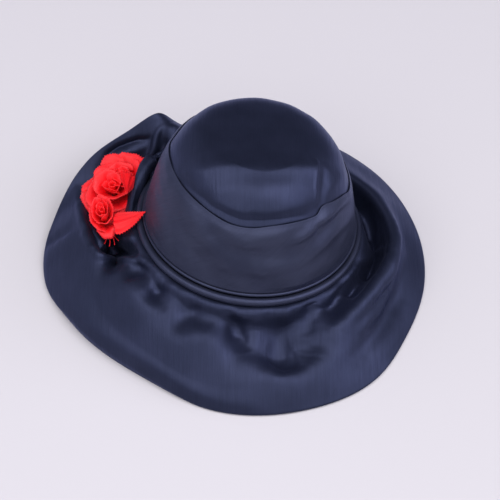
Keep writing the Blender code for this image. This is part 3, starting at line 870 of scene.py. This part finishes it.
# Petals: azimuth, span in degrees, foot radius, rim radius, height, flare, droop, lift
LARGE_PETALS = (
    (215, 210, 0.0010, 0.0070, 0.0200, 1.2, 0.08, 0.0),
    (35, 200, 0.0012, 0.0095, 0.0205, 1.2, 0.10, 0.0),
    (120, 190, 0.0015, 0.0130, 0.0215, 1.0, 0.14, 0.0),
    (262, 190, 0.0015, 0.0150, 0.0190, 1.0, 0.18, 0.0),
    (350, 160, 0.0020, 0.0170, 0.0200, 0.9, 0.24, 0.0),
    (70, 130, 0.0030, 0.0200, 0.0195, 0.9, 0.30, -0.001),
    (165, 140, 0.0030, 0.0215, 0.0180, 0.8, 0.40, -0.001),
    (238, 150, 0.0040, 0.0235, 0.0165, 0.8, 0.50, -0.001),
    (305, 120, 0.0040, 0.0250, 0.0160, 0.8, 0.62, -0.001),
    (15, 100, 0.0050, 0.0230, 0.0130, 0.8, 0.60, -0.001),
    (120, 110, 0.0050, 0.0250, 0.0150, 0.8, 0.60, -0.001),
    (195, 100, 0.0050, 0.0275, 0.0130, 0.8, 0.70, -0.001),
    (262, 100, 0.0050, 0.0290, 0.0130, 0.8, 0.95, -0.001),
)
SMALL_PETALS = (
    (30, 200, 0.0010, 0.0060, 0.0175, 1.2, 0.08, 0.0),
    (210, 200, 0.0012, 0.0085, 0.0170, 1.1, 0.12, 0.0),
    (120, 180, 0.0015, 0.0115, 0.0175, 1.0, 0.16, 0.0),
    (300, 170, 0.0015, 0.0125, 0.0160, 1.0, 0.28, 0.0),
    (20, 140, 0.0025, 0.0155, 0.0175, 0.9, 0.30, 0.0),
    (200, 130, 0.0025, 0.0165, 0.0140, 0.9, 0.50, 0.0),
    (60, 100, 0.0030, 0.0210, 0.0185, 0.9, 0.30, 0.0),
    (105, 80, 0.0030, 0.0215, 0.0180, 0.9, 0.34, 0.0),
    (150, 80, 0.0030, 0.0200, 0.0165, 0.9, 0.30, 0.0),
)
BUD_PETALS = (
    (60, 220, 0.0008, 0.0050, 0.0230, 1.1, 0.04, 0.0),
    (240, 210, 0.0010, 0.0068, 0.0235, 1.0, 0.06, 0.0),
    (340, 200, 0.0012, 0.0088, 0.0240, 0.9, 0.08, 0.0),
    (140, 190, 0.0015, 0.0106, 0.0235, 0.9, 0.10, 0.0),
    (290, 170, 0.0018, 0.0128, 0.0220, 0.8, 0.18, 0.0),
    (30, 160, 0.0020, 0.0142, 0.0215, 0.8, 0.24, 0.0),
    (195, 150, 0.0020, 0.0158, 0.0200, 0.8, 0.32, 0.0),
    (270, 120, 0.0025, 0.0180, 0.0180, 0.8, 0.60, 0.0),
)


def rose_object(name, node, heart, table, turns, seed, shift=(0, 0, 0), stretch=(1, 1, 1), extra=()):
    """A rose over the place of its solid: a wound heart, its petals, and any loose thread ends. The heart is
    its turns, columns, rows, foot radius, rim radius, height and first azimuth."""
    at, low = box_middle(node)
    at = (at[0] + shift[0], at[1] + shift[1])
    groups = [wound_heart(*heart), petals(table, columns=34, rows=14, seed=seed), *extra]
    return strips_object(name, groups, ribbon_red, RIBBON_WALL, turns, at, low + shift[2], stretch)


large_rose = rose_object(
    "large_ribbon_rose",
    "large_rose",
    (1.2, 40, 10, 0.0016, 0.0044, 0.0185, 20),
    LARGE_PETALS,
    (8, -8, 0),
    1,
    shift=(0.0020, -0.0028, -0.001),
    stretch=(1.10, 1.06, 1.0),
)
small_rose = rose_object(
    "small_ribbon_rose",
    "small_rose",
    (1.2, 36, 10, 0.0014, 0.0036, 0.0165, 80),
    SMALL_PETALS,
    (6, -6, 0),
    5,
    shift=(-0.0050, -0.0060, -0.002),
    stretch=(1.15, 1.12, 1.0),
)
# In millimetres round the bud's foot, carried into metres at the end
bud_threads = thread_ends(
    [(1, -8, 3), (-2, -7, 2), (3, -6, 3), (0, -9, 2), (-4, -6, 3)],
    [(8, -20, 2), (-9, -18, 1), (2, -21, 0), (-4, -22, 2), (10, -15, 3)],
    sag=3,
    width=1.3,
    steps=12,
) / 1000
rosebud = rose_object(
    "ribbon_rosebud",
    "rosebud",
    (1.2, 40, 12, 0.0014, 0.0034, 0.0225, 0),
    BUD_PETALS,
    (4, -14, 14),
    8,
    shift=(0.0025, -0.0015, -0.001),
    stretch=(0.74, 1.30, 0.95),
    extra=[bud_threads],
)
leaves = []
for node, name, share, fold, curl, turns, seed in (
    ("front_leaf", "front_ribbon_leaf", 1.0, 14, 0.06, (8, -22, 4), 31),
    ("side_leaf", "side_ribbon_leaf", 0.80, 16, 0.04, (-44, 0, -96), 32),
    ("back_leaf", "back_ribbon_leaf", 0.85, 12, 0.05, (10, 0, 50), 33),
):
    leaf_at, leaf_low = box_middle(node)
    leaves.append(
        (
            node,
            strips_object(
                name,
                [leaf_strip(share * LEAF_LENGTH, share * LEAF_WIDTH, fold, curl, columns=27, rows=17, seed=seed)],
                ribbon_red,
                LEAF_WALL,
                turns,
                leaf_at,
                leaf_low,
            ),
        )
    )

for piece, node, slot in (
    (crown, "crown", "navy_satin"),
    (band, "band", "navy_satin"),
    (lower_welt, "lower_welt", "navy_satin"),
    (upper_welt, "upper_welt", "navy_satin"),
    (brim, "brim", "navy_satin"),
    (large_rose, "large_rose", "red_ribbon"),
    (small_rose, "small_rose", "red_ribbon"),
    (rosebud, "rosebud", "red_ribbon"),
    *((piece, node, "red_ribbon") for node, piece in leaves),
):
    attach(piece, "root")
    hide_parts(node)


# Table, light and camera


def table():
    """A pale table top, wide enough to fill the photograph's view."""
    plane = mesh_object(
        "table_top",
        [(-3, -3, -0.0002), (3, -3, -0.0002), (3, 3, -0.0002), (-3, 3, -0.0002)],
        [(0, 1, 2, 3)],
        [],
    )
    material = bpy.data.materials.new("pale_table")
    material.use_nodes = True
    shader = material.node_tree.nodes["Principled BSDF"]
    shader.inputs["Base Color"].default_value = (0.550, 0.530, 0.548, 1)
    shader.inputs["Roughness"].default_value = 0.9
    shader.inputs["Specular IOR Level"].default_value = 0.1
    plane.data.materials.append(material)


def soft_light(name, at, aim, width, height, watts, colour):
    light = bpy.data.lights.new(name, "AREA")
    light.shape = "RECTANGLE"
    light.size = width
    light.size_y = height
    light.energy = watts
    light.color = colour
    lamp = bpy.data.objects.new(name, light)
    lamp.location = at
    lamp.rotation_euler = (Vector(aim) - Vector(at)).to_track_quat("-Z", "Y").to_euler()
    bpy.context.scene.collection.objects.link(lamp)


def dim_studio():
    """A dim room: a little light from the left and front, and pale patches of wall at both sides."""
    world = bpy.data.worlds.new("studio")
    world.use_nodes = True
    nodes, links = world.node_tree.nodes, world.node_tree.links
    place = nodes.new("ShaderNodeTexCoord")
    parts = nodes.new("ShaderNodeSeparateXYZ")
    links.new(place.outputs["Generated"], parts.inputs["Vector"])
    forward = nodes.new("ShaderNodeMath")
    forward.operation = "MULTIPLY_ADD"
    forward.inputs[1].default_value = -0.6
    links.new(parts.outputs["Y"], forward.inputs[0])
    left = nodes.new("ShaderNodeMath")
    left.operation = "MULTIPLY_ADD"
    left.inputs[1].default_value = -0.4
    left.inputs[2].default_value = 0.25
    links.new(parts.outputs["X"], left.inputs[0])
    links.new(left.outputs[0], forward.inputs[2])
    ramp = nodes.new("ShaderNodeMapRange")
    ramp.inputs["From Min"].default_value = -0.2
    ramp.inputs["From Max"].default_value = 0.9
    ramp.inputs["To Min"].default_value = 0.13
    ramp.inputs["To Max"].default_value = 0.32
    links.new(forward.outputs[0], ramp.inputs["Value"])
    total = ramp.outputs["Result"]
    for heading, strength in (
        ((-0.78, 0.50, 0.38), 0.60),
        ((0.72, 0.60, 0.35), 0.10),
        ((0.80, -0.05, 0.60), 2.10),
        ((-0.86, -0.28, 0.42), 0.80),
        ((0.86, -0.28, 0.42), 0.70),
    ):
        toward = nodes.new("ShaderNodeVectorMath")
        toward.operation = "DOT_PRODUCT"
        toward.inputs[1].default_value = heading
        links.new(place.outputs["Generated"], toward.inputs[0])
        wall = nodes.new("ShaderNodeMapRange")
        wall.interpolation_type = "SMOOTHSTEP"
        wall.inputs["From Min"].default_value = 0.80
        wall.inputs["From Max"].default_value = 0.98
        wall.inputs["To Max"].default_value = strength
        links.new(toward.outputs["Value"], wall.inputs["Value"])
        add = nodes.new("ShaderNodeMath")
        links.new(total, add.inputs[0])
        links.new(wall.outputs["Result"], add.inputs[1])
        total = add.outputs[0]
    back = nodes["Background"]
    back.inputs["Color"].default_value = (0.82, 0.82, 0.95, 1)
    links.new(total, back.inputs["Strength"])
    bpy.context.scene.world = world


table()
dim_studio()
LIT_POINT = (0, 0, 0.05)
soft_light(
    "overhead", at=(0.0, -0.55, 2.5), aim=LIT_POINT, width=4.8, height=1.8, watts=74, colour=(1.0, 0.985, 1.0)
)
soft_light(
    "front", at=(0.0, -2.1, 1.65), aim=LIT_POINT, width=4.4, height=1.3, watts=34, colour=(0.97, 0.97, 1.0)
)
bpy.context.scene.view_settings.view_transform = "Standard"

lens = bpy.data.cameras.new("photo_view")
lens.sensor_width = SENSOR
lens.lens = LENS
lens.clip_end = 20
camera = bpy.data.objects.new("photo_view", lens)
back_of_view = Vector((0, -math.cos(CAMERA_ELEVATION), math.sin(CAMERA_ELEVATION)))
camera.location = Vector(AIM) + CAMERA_DISTANCE * back_of_view
camera.rotation_euler = back_of_view.to_track_quat("Z", "Y").to_euler()
bpy.context.scene.collection.objects.link(camera)
bpy.context.scene.camera = camera
